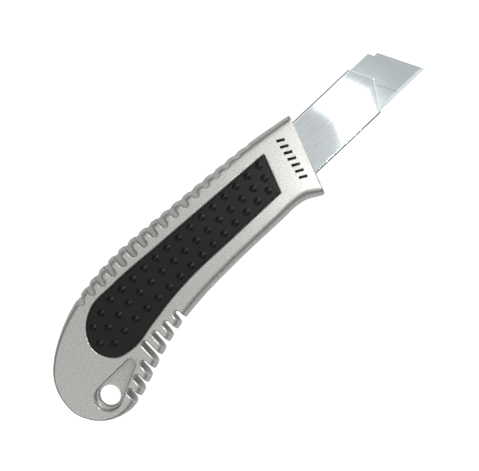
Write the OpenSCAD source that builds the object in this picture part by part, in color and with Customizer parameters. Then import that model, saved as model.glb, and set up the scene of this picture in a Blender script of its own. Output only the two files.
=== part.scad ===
/* [Blade] */
// Width of the snap-off blade, spine to cutting edge
blade_width = 18; // [16:1:18]
// Length of the blade, point to tail along the cutting edge
blade_length = 100; // [84:1:120]
// Thickness of the blade strip
blade_thickness = 0.5; // [0.38:0.02:0.7]
// Distance between score lines
blade_segment = 12.5; // [10:0.5:15]
// Slant of the blade's front, tail and score lines
blade_slant = 28; // [22:1:34]
// Height of the ground bevel along the cutting edge
bevel_height = 1.3; // [0.8:0.1:2]
// How far the point stands past the guide's lower corner
blade_out = 22.2; // [10:0.1:28]

/* [Guide] */
// Sheet thickness of the steel guide
guide_sheet = 0.5; // [0.4:0.05:0.7]
// Gap between each blade side and the guide wall
guide_side_gap = 0.2; // [0.1:0.05:0.4]
// Outside depth of the guide channel
guide_depth = 4.5; // [4.3:0.1:5.4]
// Height of the guide's closed face above the parting plane
guide_top = 1.9; // [1.7:0.1:2.2]
// How far the guide's lower corner stands past the nose's top corner
guide_reach = 24.9; // [18:0.1:32]
// Width of each lip that holds the slider in
lip_width = 3.2; // [2.6:0.1:3.6]
// Distance between lock notches
notch_pitch = 2; // [2]
// Length of one lock notch along the guide
notch_length = 1.2; // [1:0.05:1.4]
// Depth of one lock notch into the lip
notch_depth = 1.2; // [0.9:0.1:1.5]

/* [Handle] */
// Length of the handle, tail to nose
handle_length = 128.2; // [108:1:155]
// Thickness of the handle over both faces
handle_thickness = 15; // [14:0.5:18]
// Distance from the lanyard hole's centre to the guide's axis
axis_height = 16.8; // [16:0.2:20]
// Depth of the spine behind the guide, at its fullest
spine_depth = 9.2; // [8.2:0.1:11.4]
// Depth of the belly below the guide, at its flattest
belly_depth = 3.6; // [3:0.1:4.3]
// Lean of the nose face from square
nose_lean = 18.8; // [12:0.2:24]
// Width of the rounded edge along spine and belly
edge_width = 3.5; // [2.5:0.1:4]
// Width of the rounded edge at the nose
nose_edge = 0.9; // [0.5:0.1:1.5]

/* [Grip] */
// Depth of the recess that holds each rubber pad
pad_recess = 1.3; // [0.9:0.1:1.5]
// Thickness of the rubber pad
pad_thickness = 1.0; // [0.7:0.1:1.2]
// Gap between pad and recess wall
pad_gap = 0.3; // [0.1:0.05:0.5]
// Diameter of the moulded studs on the pads
stud_diameter = 2.2; // [1.4:0.1:2.6]
// Distance between studs along the pad
stud_pitch = 5.43; // [4.4:0.1:7]
// Number of finger grooves along the spine
groove_count = 17; // [10:1:17]
// Distance between finger grooves and between ribs
groove_pitch = 5.04; // [4.2:0.01:5.04]
// Radius of the finger grooves
groove_radius = 1.3; // [1:0.1:1.6]
// Number of slots between the belly ribs
slot_count = 7; // [4:1:7]
// Width of the slots between the belly ribs
slot_width = 2.4; // [1.8:0.1:3]

/* [Lanyard eye] */
// Radius of the lanyard hole
eye_radius = 3.9; // [3.2:0.1:4.3]
// Thickness of the web that the hole goes through
eye_web = 4; // [3:0.5:6]
// Radius of the round end of the pocket around the hole
pocket_radius = 4.9; // [4.6:0.1:5.4]
// Radius of the narrow end of the pocket
pocket_tip_radius = 1.8; // [1.4:0.1:2.2]

/* [Slider] */
// Length of the blade carrier along the guide
carrier_length = 22; // [20:1:26]
// Width of the carrier's neck in the housing slot
neck_width = 9.4; // [8:0.2:10.4]
// Clearance around the neck in the slot
neck_gap = 0.3; // [0.2:0.05:0.5]
// Clearance between sliding faces
slide_gap = 0.1; // [0.05:0.05:0.2]
// Travel of the thumb button when it is pressed
button_travel = 0.8; // [0.7:0.1:0.9]
// Length of the thumb button
button_length = 21; // [17.5:0.5:25.2]
// Width of the thumb button
button_width = 13.2; // [11:0.2:15]
// How far the slider draws the blade in from the working place
retract_travel = 24; // [20:2:26]
// How far the slider pushes the blade on from the working place
extend_travel = 60; // [48:2:60]

/* [Fasteners] */
// Radius of the screw shanks
screw_radius = 1.0; // [0.8:0.1:1.2]
// Radius of the screw heads
screw_head_radius = 1.7; // [1.5:0.1:2]
// Height of the screw heads
screw_head_height = 1.6; // [1.2:0.1:2]

/* [Hidden] */
$fn = 48;
eps = 0.01;

// Frame: the origin is the centre of the lanyard hole on the parting plane, +X runs along the
// blade to its point, +Y to the spine and +Z to the closed face of the guide.
half_t = handle_thickness / 2;
axis_y = axis_height;
guide_half = blade_width / 2 + guide_side_gap + guide_sheet;
guide_high = axis_y + guide_half;
guide_low = axis_y - guide_half;
tail_reach = 12.9;
nose_x = handle_length - tail_reach;
nose_rise = 2.6;
flare_drop = 7.6;
nose_top = [nose_x, guide_high + nose_rise];
flare_tip = [nose_x - (guide_half * 2 + nose_rise + flare_drop) * tan(nose_lean),
             guide_low - flare_drop];

// Levels through the guide and slider, from the closed face down
web_in = guide_top - guide_sheet;
blade_top = web_in - slide_gap;
blade_low = blade_top - blade_thickness;
lip_out = guide_top - guide_depth;
lip_in = lip_out + guide_sheet;
plate_sheet = 0.5;
plate_low = lip_in + slide_gap;
plate_top = plate_low + plate_sheet;
spring_room = 1.2;
spring_roof = plate_top + spring_room;
track_wall = 1.9;
track_gap = 0.1;
track_face = lip_out - track_gap - track_wall;
neck_low = track_face - 0.6;
button_gap = button_travel + 0.2;
button_low = neck_low - button_gap;
button_height = 3.1;
grip_sheet = 0.9;

// Places along the blade
guide_front_low = nose_x + guide_reach;
guide_front_high = guide_front_low + 2.1;
guide_peak = [guide_front_low + 6.6, axis_y + 1];
point_x = guide_front_low + blade_out;
hole_inset = 5.8;
hole_x = point_x - blade_length - blade_width / 2 * tan(blade_slant) + hole_inset;
carrier_back = hole_x - carrier_length / 2;
carrier_front = hole_x + carrier_length / 2;
guide_back = carrier_back - retract_travel - 7.5;
rivet_x = guide_back + 4;
stop_x = carrier_front + extend_travel + slide_gap;
track_back = hole_x - retract_travel - button_length / 2 - 1.5;
track_half = button_width / 2 + 1.4;

// ---- Curves -------------------------------------------------------------------------------
// Hermite step of a curve through a list of points, spaced by chord length
function knot(a, b) = max(norm([b.x - a.x, b.y - a.y]), eps);
function slope(a, b, c) =
    let (u = knot(a, b), v = knot(b, c))
    ((b - a) / u * v + (c - b) / v * u) / (u + v);
function hermite(p, q, m, n, t) =
    (2 * t^3 - 3 * t^2 + 1) * p + (t^3 - 2 * t^2 + t) * m
    + (3 * t^2 - 2 * t^3) * q + (t^3 - t^2) * n;
function curve_slope(p, i) =
    i == 0 ? (p[1] - p[0]) / knot(p[0], p[1])
    : i == len(p) - 1 ? (p[i] - p[i - 1]) / knot(p[i - 1], p[i])
    : slope(p[i - 1], p[i], p[i + 1]);
function curve(p, step) = [
    for (i = [0:len(p) - 2])
        let (d = knot(p[i], p[i + 1]), n = max(1, round(d / step)))
        for (k = [0:n - 1])
            hermite(p[i], p[i + 1], curve_slope(p, i) * d, curve_slope(p, i + 1) * d, k / n),
    p[len(p) - 1]];
function left_of(a, b) = let (d = b - a) [-d.y, d.x] / norm(d);
function flat(p) = [p.x, p.y];
// Moves each point of an open curve to its left by d, or by the point's own width times share
function shifted(p, d, share) = [
    for (i = [0:len(p) - 1])
        let (a = flat(p[max(i - 1, 0)]), b = flat(p[min(i + 1, len(p) - 1)]))
        flat(p[i]) + left_of(a, b) * (d + p[i].z * share)];
// Where the line through a and b meets the line through c and d
function meet(a, b, c, d) =
    let (r = b - a, s = d - c, w = c - a)
    a + r * (w.x * s.y - w.y * s.x) / (r.x * s.y - r.y * s.x);
// An arc of radius r that rounds the corner b between a and c
function corner(a, b, c, r, n) =
    let (u = (a - b) / norm(a - b), v = (c - b) / norm(c - b),
         half = acos(u * v) / 2, m = (u + v) / norm(u + v), o = b + m * r / sin(half),
         p = b + u * r / tan(half), q = b + v * r / tan(half),
         a0 = atan2(p.y - o.y, p.x - o.x), a1 = atan2(q.y - o.y, q.x - o.x),
         turn = a1 - a0 > 180 ? a1 - a0 - 360 : a1 - a0 < -180 ? a1 - a0 + 360 : a1 - a0)
    [for (k = [0:n]) o + r * [cos(a0 + turn * k / n), sin(a0 + turn * k / n)]];

// ---- Handle outline -----------------------------------------------------------------------
// Points from the nose along the spine, round the tail and along the belly to the flare.
// Each holds x, y and the width of the rounded edge there.
tail_edge = 1.0;
spine_points = [
    [nose_x, guide_high + nose_rise, edge_width - 0.6],
    [nose_x - 15.3, guide_high + spine_depth * 0.54, edge_width],
    [nose_x - 35.3, guide_high + spine_depth * 0.73, edge_width],
    [nose_x - 55.3, guide_high + spine_depth * 0.88, edge_width],
    [46, guide_high + spine_depth * 0.98, edge_width],
    [36, guide_high + spine_depth, edge_width],
    [26.8, guide_high + spine_depth * 0.93, edge_width],
    [18.8, guide_high + spine_depth * 0.8, edge_width * 0.9],
    [10.8, guide_high + spine_depth * 0.56, edge_width * 0.7]];
tail_points = [
    [2.8, axis_y + 11.3, edge_width * 0.5],
    [-4.9, axis_y + 6.3, tail_edge * 1.3],
    [-9.2, axis_y + 2, tail_edge],
    [1.2 - tail_reach, axis_y - 2.6, tail_edge],
    [-tail_reach, 8.2, tail_edge],
    [0.1 - tail_reach, 4.6, tail_edge],
    [-11.4, 0.6, tail_edge],
    [-8.9, -3.1, tail_edge],
    [-5.2, -6.2, tail_edge * 1.2],
    [-1.2, -8, tail_edge * 1.8],
    [2.8, -8.8, edge_width * 0.8]];
belly_points = [
    [6.8, -8.3, edge_width],
    [12.8, -6.4, edge_width],
    [18.8, -4.1, edge_width],
    [26.8, guide_low - belly_depth - 4.8, edge_width],
    [36.8, guide_low - belly_depth - 2.3, edge_width],
    [49.8, guide_low - belly_depth - 0.6, edge_width],
    [63, guide_low - belly_depth, edge_width],
    [nose_x - 26, guide_low - belly_depth, edge_width],
    [nose_x - 20, guide_low - belly_depth, edge_width],
    [nose_x - 15.6, guide_low - belly_depth - 0.9, edge_width],
    [nose_x - 12.6, guide_low - belly_depth - 2.5, edge_width * 0.9],
    [flare_tip.x, flare_tip.y, edge_width * 0.8]];
outline_step = 3.2;
handle_curve = curve(concat(spine_points, tail_points, belly_points), outline_step);
curve_end = len(handle_curve) - 1;

// The outline drawn in by share of the edge width, closed along the nose
function handle_ring(share) =
    let (p = shifted(handle_curve, 0, share), n = len(p) - 1,
         in = left_of(flare_tip, nose_top) * nose_edge * share,
         a = flare_tip + in, b = nose_top + in)
    concat([meet(p[0], p[1], a, b)], [for (i = [1:n - 1]) p[i]], [meet(p[n - 1], p[n], a, b)],
           [for (f = [nose_blend, 1 - nose_blend]) a + (b - a) * f]);
nose_blend = 0.12;
edge_rise = 1.5;
edge_steps = 5;
edge_run_on = 1.36;
function edge_of(i) = i > curve_end ? nose_edge : handle_curve[i].z;
function level(i, a) = half_t - edge_of(i) * edge_rise * (1 - sin(a));
function ring_at(share, z) = [for (q = handle_ring(share)) [q.x, q.y, z]];

// Solid half of the handle, from the parting plane to its rounded face. The rounded edge runs on
// past the face and the parting plane, and a block trims both flat.
module half_handle() {
    rings = concat([ring_at(0, -1)],
        [for (k = [0:edge_steps - 1])
            let (a = 90 * k / edge_steps, ring = handle_ring(1 - cos(a)))
            [for (i = [0:len(ring) - 1]) [ring[i].x, ring[i].y, level(i, a)]]],
        [let (ring = handle_ring(edge_run_on))
            [for (i = [0:len(ring) - 1])
                [ring[i].x, ring[i].y, 2 * half_t - level(i, 90 * (1 - 1.07 / edge_steps))]]],
        [ring_at(edge_run_on, half_t + 1)]);
    n = len(rings[0]);
    sides = [for (r = [0:len(rings) - 2]) for (i = [0:n - 1])
        let (j = (i + 1) % n)
        each [[r * n + i, (r + 1) * n + i, (r + 1) * n + j], [r * n + i, (r + 1) * n + j, r * n + j]]];
    floor_face = [for (i = [0:n - 1]) i];
    top_face = [for (i = [n - 1:-1:0]) (len(rings) - 1) * n + i];
    intersection() {
        polyhedron([for (r = rings) each r], concat(sides, [floor_face, top_face]), convexity = 6);
        translate([-2 * tail_reach, -nose_x, 0]) cube([2 * nose_x, 3 * nose_x, half_t]);
    }
}

// ---- Finger grooves and belly slots -------------------------------------------------------
groove_first = 16.1;
groove_line = guide_high + 3.1;
silhouette_notch = 0.4;
// Height of the spine at x, by walking the outline
function spine_at(x) = [for (i = [0:curve_end - 1])
    let (a = handle_curve[i], b = handle_curve[i + 1])
    if (a.x >= x && b.x < x && a.y > axis_y) a.y + (b.y - a.y) * (x - a.x) / (b.x - a.x)][0];

module finger_grooves() {
    shift = groove_radius * 1.25;
    past = 3;
    for (k = [0:groove_count - 1]) {
        x = groove_first + groove_pitch * k;
        top_y = groove_line + 0.006 * max(0, x - 60) + shift;
        low_y = spine_at(x) - silhouette_notch + shift;
        tilt = atan2(low_y - top_y, half_t);
        translate([x, low_y, 0]) rotate([tilt, 0, 0]) translate([0, 0, -past])
            cylinder(r = groove_radius, h = half_t / cos(tilt) + 2 * past);
    }
}

slot_first = 7;
slot_wall = 2;
module belly_slots() {
    for (k = [0:slot_count - 1]) {
        x = slot_first + k * (groove_pitch + 0.1);
        inner = k < 3 ? -4 + 2 * k : guide_low - slot_wall - 0.4;
        translate([x, inner, -eps]) cylinder(r = slot_width / 2, h = half_t + 1);
        translate([x - slot_width / 2, -20, -eps]) cube([slot_width, 20 + inner, half_t + 1]);
    }
}

// ---- Lanyard eye --------------------------------------------------------------------------
pocket_tip = [13.9, 3.3];
module teardrop() {
    reach = norm(pocket_tip);
    lean = atan2(pocket_tip.y, pocket_tip.x);
    turn = acos((pocket_radius - pocket_tip_radius) / reach);
    function touch(c, r, s) = c + r * [cos(lean + s * turn), sin(lean + s * turn)];
    circle(r = pocket_radius);
    translate(pocket_tip) circle(r = pocket_tip_radius);
    polygon([touch([0, 0], pocket_radius, 1), touch([0, 0], pocket_radius, -1),
             touch(pocket_tip, pocket_tip_radius, -1), touch(pocket_tip, pocket_tip_radius, 1)]);
}
module lanyard_eye() {
    translate([0, 0, eye_web / 2]) linear_extrude(half_t) teardrop();
    translate([0, 0, -1]) cylinder(r = eye_radius, h = half_t);
}

// ---- Rubber pads --------------------------------------------------------------------------
pad_high = guide_high + 2;
pad_low = axis_y - 5.9;
pad_front_low = nose_x - 20.8;
pad_front_high = nose_x - 15.8;
pad_points = [
    [pad_front_low, pad_low, 0], [72, pad_low, 0], [50, pad_low, 0], [40.5, pad_low - 0.8, 0],
    [29, pad_low - 2.7, 0], [18.5, pad_low - 4.3, 0], [11.8, pad_low - 2.6, 0],
    [8, pad_low + 4.6, 0], [10.8, pad_low + 12, 0], [17.4, pad_high - 0.7, 0],
    [28, pad_high, 0], [50, pad_high - 0.8, 0], [76, pad_high - 2, 0],
    [pad_front_high, pad_high - 3.2, 0]];
pad_step = 2.5;
function pad_outline(grow) =
    let (p = shifted(curve(pad_points, pad_step), grow, 0), n = len(p) - 1,
         out = left_of(flat(pad_points[13]), flat(pad_points[0])) * grow,
         a = flat(pad_points[13]) + out, b = flat(pad_points[0]) + out)
    concat([meet(p[0], p[1], a, b)], [for (i = [1:n - 1]) p[i]], [meet(p[n - 1], p[n], a, b)]);

pad_floor = half_t - pad_recess;
stud_height = 0.5;
// A row of studs from x0 to x_end, level to bend_x and then falling or rising towards y1
bend_x = 40;
bend_long = 55;
function row(x0, y0, y1, x_end) = [for (x = [x0:stud_pitch:x_end])
    [x, y0 + (y1 - y0) * max(0, x - bend_x) / bend_long]];
studs = concat(
    row(24.2, pad_high - 3.9, pad_high - 5.4, pad_front_high - 4),
    row(28.1, axis_y + 2.6, axis_y + 1.7, pad_front_high - 5.5),
    row(26.1, axis_y - 3.2, axis_y - 2.3, pad_front_low - 1.5),
    [[13.1, axis_y + 4.8], [18.6, axis_y + 6.6], [10.9, axis_y - 0.9], [16.9, axis_y + 1.2],
     [22.6, axis_y + 1.9], [14.7, axis_y - 4.4], [20.3, axis_y - 3.5]]);

module stud(at) {
    ball = (stud_diameter^2 / 4 + stud_height^2) / (2 * stud_height);
    translate([at.x, at.y, pad_floor + pad_thickness - ball + stud_height])
        intersection() {
            sphere(r = ball);
            translate([0, 0, ball - stud_height - 0.1]) cylinder(r = ball, h = ball);
        }
}
module pad_blank(grow) translate([0, 0, pad_floor]) linear_extrude(pad_thickness)
    polygon(pad_outline(grow));

module grip_pad_right() color("#262624") {
    pad_blank(0);
    for (s = studs) stud(s);
}

// The left pad leaves room for the thumb track
track_margin = 1;
module track_plan(grow) {
    translate([track_back - grow, axis_y - track_half - grow])
        square([nose_x - track_back + 10, 2 * (track_half + grow)]);
}
// Its arm along the spine ends on a slant before the track closes it off
pad_arm_end = 66;
module left_pad_plan(grow) difference() {
    polygon(pad_outline(grow));
    track_plan(track_margin - grow);
    translate([pad_arm_end + grow, axis_y]) rotate(-nose_lean) translate([0, -50]) square(100);
}
module grip_pad_left() color("#262624") mirror([0, 0, 1]) {
    translate([0, 0, pad_floor]) linear_extrude(pad_thickness) left_pad_plan(0);
    for (s = studs)
        if (s.x < track_back - track_margin - stud_diameter) stud(s);
}

// ---- Housing shells -----------------------------------------------------------------------
guide_fit = 0.1;
screw_seat = 3.2;
screw_reach = 4.4;
screw_gap = 0.15;
head_gap = 0.2;
screw_places = [[-5.2, axis_y - 1.8], [14.5, axis_y + 1.2], [nose_x - 14.2, guide_high + 1.9],
                [nose_x - 13.2, guide_low - 2.4]];
peg_places = [[-7, 7.5], [nose_x - 50, guide_high + 3.4]];
peg_radius = 1.2;
peg_length = 1.6;
pocket_depth = 2.6;
pocket_pitch = 16;
pocket_long = 13;
pocket_half = 6.5;
pocket_first = guide_back + 12;
past = 10;

// Trough that the guide lies in, open at the nose
module guide_bed() {
    translate([guide_back - guide_fit, guide_low - guide_fit, lip_out - guide_fit])
        cube([nose_x - guide_back + past, 2 * (guide_half + guide_fit), guide_depth + 2 * guide_fit]);
}
module outer_shell() difference() {
    half_handle();
    finger_grooves();
    belly_slots();
    lanyard_eye();
}
// Hollow in the tail that saves metal, in both shells
module tail_hollow() translate([-2, 8.5, -eps]) cube([13.5, 15.5, 4.6]);

module housing_right() color("#c9cbc7") {
    difference() {
        outer_shell();
        translate([0, 0, pad_floor]) linear_extrude(half_t) polygon(pad_outline(pad_gap));
        guide_bed();
        tail_hollow();
        for (x = [pocket_first:pocket_pitch:pad_front_low - pocket_long])
            translate([x, axis_y - pocket_half, guide_top])
                cube([pocket_long, 2 * pocket_half, guide_fit + pocket_depth]);
        for (s = screw_places) translate([s.x, s.y, -1])
            cylinder(r = screw_radius, h = 1 + screw_reach + 0.2);
        translate([rivet_x, axis_y, web_in]) cylinder(r = rivet_radius, h = rivet_reach - web_in);
    }
    for (p = peg_places) translate([p.x, p.y, -peg_length])
        cylinder(r = peg_radius, h = peg_length + 0.5);
}

// Open track for the thumb button, with round corners at its tail end
track_corner = 3;
module thumb_track() {
    depth = half_t + track_face + past;
    translate([0, 0, track_face - depth]) {
        for (side = [-1, 1])
            translate([track_back + track_corner, axis_y + side * (track_half - track_corner), 0])
                cylinder(r = track_corner, h = depth);
        translate([track_back + track_corner, axis_y - track_half, 0])
            cube([nose_x, 2 * track_half, depth]);
        translate([track_back, axis_y - track_half + track_corner, 0])
            cube([nose_x, 2 * (track_half - track_corner), depth]);
    }
}
neck_length = 19;
module neck_slot() {
    slot_half = neck_width / 2 + neck_gap;
    back = hole_x - retract_travel - neck_length / 2 - 0.5;
    translate([back, axis_y - slot_half, -half_t - 1])
        cube([nose_x - back + past, 2 * slot_half, half_t + 2]);
}
module housing_left() color("#c2c4c0") difference() {
    mirror([0, 0, 1]) difference() {
        outer_shell();
        translate([0, 0, pad_floor]) linear_extrude(half_t) left_pad_plan(pad_gap);
        tail_hollow();
        for (s = screw_places) translate([s.x, s.y, -1]) {
            cylinder(r = screw_radius + screw_gap, h = half_t + 2);
            translate([0, 0, 1 + screw_seat])
                cylinder(r = screw_head_radius + head_gap, h = half_t);
        }
        for (p = peg_places) translate([p.x, p.y, -eps])
            cylinder(r = peg_radius + 0.1, h = peg_length + 0.2);
    }
    guide_bed();
    thumb_track();
    neck_slot();
}

module screw(at) color("#8d9093") translate([at.x, at.y, 0]) difference() {
    union() {
        translate([0, 0, -screw_seat]) cylinder(r = screw_radius, h = screw_seat + screw_reach);
        translate([0, 0, -screw_seat - screw_head_height])
            cylinder(r = screw_head_radius, h = screw_head_height);
    }
    for (a = [0, 90]) rotate([0, 0, a]) translate([-1.1, -0.25, -screw_seat - screw_head_height - 1])
        cube([2.2, 0.5, 1.9]);
}
module screw_tail() screw(screw_places[0]);
module screw_rear() screw(screw_places[1]);
module screw_front_spine() screw(screw_places[2]);
module screw_front_belly() screw(screw_places[3]);

// ---- Steel guide --------------------------------------------------------------------------
rivet_radius = 1.4;
rivet_reach = 5;
peak_radius = 2;
stop_long = 0.5;
notch_first = hole_x - retract_travel - 2 * notch_pitch;
notch_count = floor((retract_travel + extend_travel) / notch_pitch) + 5;

module guide_face() {
    low = [guide_front_low, guide_low];
    high = [guide_front_high, guide_high];
    difference() {
        polygon(concat([[guide_back, guide_low], low], corner(low, guide_peak, high, peak_radius, 6),
                       [high, [guide_back, guide_high]]));
        translate([rivet_x, axis_y]) circle(r = rivet_radius);
    }
}
// The lip on the spine side has the lock notches along its inner edge
module notched_lip() {
    edge = guide_high - lip_width;
    polygon(concat([[guide_front_high, guide_high], [guide_back, guide_high], [guide_back, edge]],
        [for (k = [0:notch_count - 1])
            let (x = notch_first + k * notch_pitch, h = notch_length / 2)
            each [[x - h, edge], [x - h, edge + notch_depth], [x + h, edge + notch_depth],
                  [x + h, edge]]],
        [[guide_front_high, edge]]));
}
module blade_guide() color("#b9c4c6") {
    translate([0, 0, web_in]) linear_extrude(guide_sheet) guide_face();
    translate([guide_back, guide_low, lip_out])
        cube([guide_front_low - guide_back, guide_sheet, guide_depth]);
    translate([guide_back, guide_high - guide_sheet, lip_out])
        cube([guide_front_high - guide_back, guide_sheet, guide_depth]);
    translate([guide_back, guide_low, lip_out])
        cube([guide_front_low - guide_back, lip_width, guide_sheet]);
    translate([0, 0, lip_out]) linear_extrude(guide_sheet) notched_lip();
    translate([stop_x, guide_high - guide_sheet - 1.6, lip_out]) cube([stop_long, 1.8, 2]);
}
module guide_rivet() color("#9aa0a3") translate([rivet_x, axis_y, 0]) {
    cylinder(r = rivet_radius, h = rivet_reach);
    translate([0, 0, web_in - 0.7]) cylinder(r = 2.2, h = 0.7);
}

// ---- Blade --------------------------------------------------------------------------------
hole_radius = 2.5;
blade_low_y = axis_y - blade_width / 2;
blade_high_y = axis_y + blade_width / 2;
function front_x(y) = point_x - (y - blade_low_y) * tan(blade_slant);
front_step = [1.6, 2.1];
module blade_plan() {
    step_y = blade_high_y - front_step.y;
    polygon([[point_x, blade_low_y], [front_x(step_y), step_y],
             [front_x(step_y) - front_step.x, step_y],
             [front_x(blade_high_y) - front_step.x, blade_high_y],
             [front_x(blade_high_y) - blade_length, blade_high_y],
             [point_x - blade_length, blade_low_y]]);
}
module blade() color("#c3ccd0") {
    keen = 0.04;
    score = 0.1;
    difference() {
        intersection() {
            translate([0, 0, blade_low]) linear_extrude(blade_thickness) blade_plan();
            translate([0, axis_y, (blade_low + blade_top) / 2]) rotate([90, 0, 90])
                linear_extrude(point_x + 1) polygon([
                    [-blade_width / 2, -keen], [-blade_width / 2, keen],
                    [-blade_width / 2 + bevel_height, blade_thickness / 2],
                    [blade_width / 2 + 1, blade_thickness / 2],
                    [blade_width / 2 + 1, -blade_thickness / 2],
                    [-blade_width / 2 + bevel_height, -blade_thickness / 2]]);
        }
        translate([hole_x, axis_y, -5]) cylinder(r = hole_radius, h = 10);
        for (k = [1:floor(blade_length / blade_segment) - 1])
            translate([point_x - k * blade_segment, blade_low_y, blade_top])
                rotate([0, 0, blade_slant]) translate([0, blade_width / 2, 0])
                    rotate([0, 45, 0])
                        cube([score * 1.41, blade_width * 2, score * 1.41], center = true);
    }
}

// ---- Slider -------------------------------------------------------------------------------
rail_half = blade_width / 2;
recess_long = 13;
recess_half = 5.3;
window = [8.6, 5.8];
stem = [8, 5.2];
tooth_long = 0.9;
tooth_in = 6.1;
tooth_out = 7.4;
plate_long = 12.4;
stud_shank = 1.5;
spring_rivet_x = hole_x + 4.7;
lock_rivet_reach = 2.6;
lock_rivet_radius = 0.7;

module blade_carrier() color("#3a3c3e") difference() {
    union() {
        translate([carrier_back, axis_y - rail_half, plate_low])
            cube([carrier_length, 2 * rail_half, blade_low - plate_low]);
        translate([hole_x - neck_length / 2, axis_y - neck_width / 2, neck_low])
            cube([neck_length, neck_width, plate_low - neck_low + eps]);
    }
    translate([hole_x - recess_long / 2, axis_y - recess_half, plate_low])
        cube([recess_long, recess_half + rail_half + 1, spring_roof - plate_low]);
    translate([hole_x - window.x / 2, axis_y - window.y / 2, neck_low - 1])
        cube([window.x, window.y, plate_low - neck_low + 1.5]);
    translate([hole_x, axis_y, 0]) cylinder(r = stud_shank, h = 4, center = true);
    translate([spring_rivet_x, axis_y, spring_roof - eps]) cylinder(r = 0.6, h = 0.8);
}
module blade_stud() color("#9aa0a3") translate([hole_x, axis_y, 0]) {
    translate([0, 0, spring_roof]) cylinder(r = stud_shank, h = blade_top - spring_roof);
    translate([0, 0, blade_low]) cylinder(r = hole_radius - 0.05, h = blade_top - blade_low);
}
module lock_plate() color("#9aa0a3") {
    difference() {
        translate([hole_x - plate_long / 2, axis_y - 5, plate_low])
            cube([plate_long, 5 + tooth_out, plate_sheet]);
        for (x = lock_rivet_places) translate([x, axis_y, plate_low - 1])
            cylinder(r = lock_rivet_radius, h = 3);
    }
    for (k = [-1:1])
        translate([hole_x + k * notch_pitch - tooth_long / 2, axis_y + tooth_in, lip_out])
            cube([tooth_long, tooth_out - tooth_in, plate_low - lip_out + eps]);
}
spring_sheet = 0.15;
spring_air = 0.03;
spring_high = spring_roof - spring_air - spring_sheet / 2;
module lock_spring() color("#aeb4b8") {
    high = spring_high;
    low = plate_top + spring_sheet / 2 + 0.2;
    path = curve([[hole_x + 6, high, 0], [spring_rivet_x - 1.4, high, 0], [hole_x - 3.4, low, 0],
                  [hole_x - 5, low + 0.35, 0]], 0.8);
    upper = shifted(path, spring_sheet / 2, 0);
    lower = shifted(path, -spring_sheet / 2, 0);
    difference() {
        translate([0, axis_y, 0]) rotate([90, 0, 0]) linear_extrude(4, center = true)
            polygon(concat(upper, [for (i = [len(lower) - 1:-1:0]) lower[i]]));
        translate([spring_rivet_x, axis_y, -5]) cylinder(r = 0.65, h = 10);
    }
}
module spring_rivet() color("#9aa0a3") translate([spring_rivet_x, axis_y, 0]) {
    head_low = spring_high - spring_sheet / 2 - 0.15;
    translate([0, 0, head_low]) cylinder(r = 1.1, h = 0.15);
    translate([0, 0, head_low]) cylinder(r = 0.6, h = 0.9);
}
lock_rivet_places = [hole_x - 2.6, hole_x + 2.6];
module lock_rivet(x) color("#b4b9bb") translate([x, axis_y, plate_top - lock_rivet_reach])
    cylinder(r = lock_rivet_radius, h = lock_rivet_reach);
module lock_rivet_front() lock_rivet(lock_rivet_places[1]);
module lock_rivet_rear() lock_rivet(lock_rivet_places[0]);

// A plate with round corners, standing on z and centred on the slider
module rounded_plate(long, wide, r, z, h) {
    translate([hole_x, axis_y, z]) {
        for (sx = [-1, 1]) for (sy = [-1, 1])
            translate([sx * (long / 2 - r), sy * (wide / 2 - r), 0]) cylinder(r = r, h = h);
        translate([-long / 2, -wide / 2 + r, 0]) cube([long, wide - 2 * r, h]);
        translate([-long / 2 + r, -wide / 2, 0]) cube([long - 2 * r, wide, h]);
    }
}
button_corner = 2.6;
grip_inset = 1.2;
cap_height = button_height - grip_sheet;
rib_pitch = 2.6;
rib_radius = 0.45;
module thumb_button() color("#55585a") difference() {
    union() {
        rounded_plate(button_length, button_width, button_corner, button_low - cap_height, cap_height);
        translate([hole_x - stem.x / 2, axis_y - stem.y / 2, button_low - eps])
            cube([stem.x, stem.y, plate_low - button_low + eps]);
    }
    for (x = lock_rivet_places) translate([x, axis_y, plate_top - lock_rivet_reach])
        cylinder(r = lock_rivet_radius, h = lock_rivet_reach);
}
module thumb_grip() color("#262624") {
    face = button_low - cap_height;
    long = button_length - 2 * grip_inset;
    wide = button_width - 2 * grip_inset;
    rounded_plate(long, wide, button_corner - grip_inset, face - grip_sheet / 2, grip_sheet / 2);
    ribs = floor((long - 3) / rib_pitch / 2);
    for (k = [-ribs:ribs])
        translate([hole_x + k * rib_pitch, axis_y, face - grip_sheet + rib_radius])
            rotate([90, 0, 0]) cylinder(r = rib_radius, h = wide - 2, center = true);
}

housing_right();
housing_left();
grip_pad_right();
grip_pad_left();
blade_guide();
guide_rivet();
screw_tail();
screw_rear();
screw_front_spine();
screw_front_belly();
blade();
blade_carrier();
blade_stud();
lock_plate();
lock_spring();
spring_rivet();
lock_rivet_front();
lock_rivet_rear();
thumb_button();
thumb_grip();
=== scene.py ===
# %% [markdown]
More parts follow.
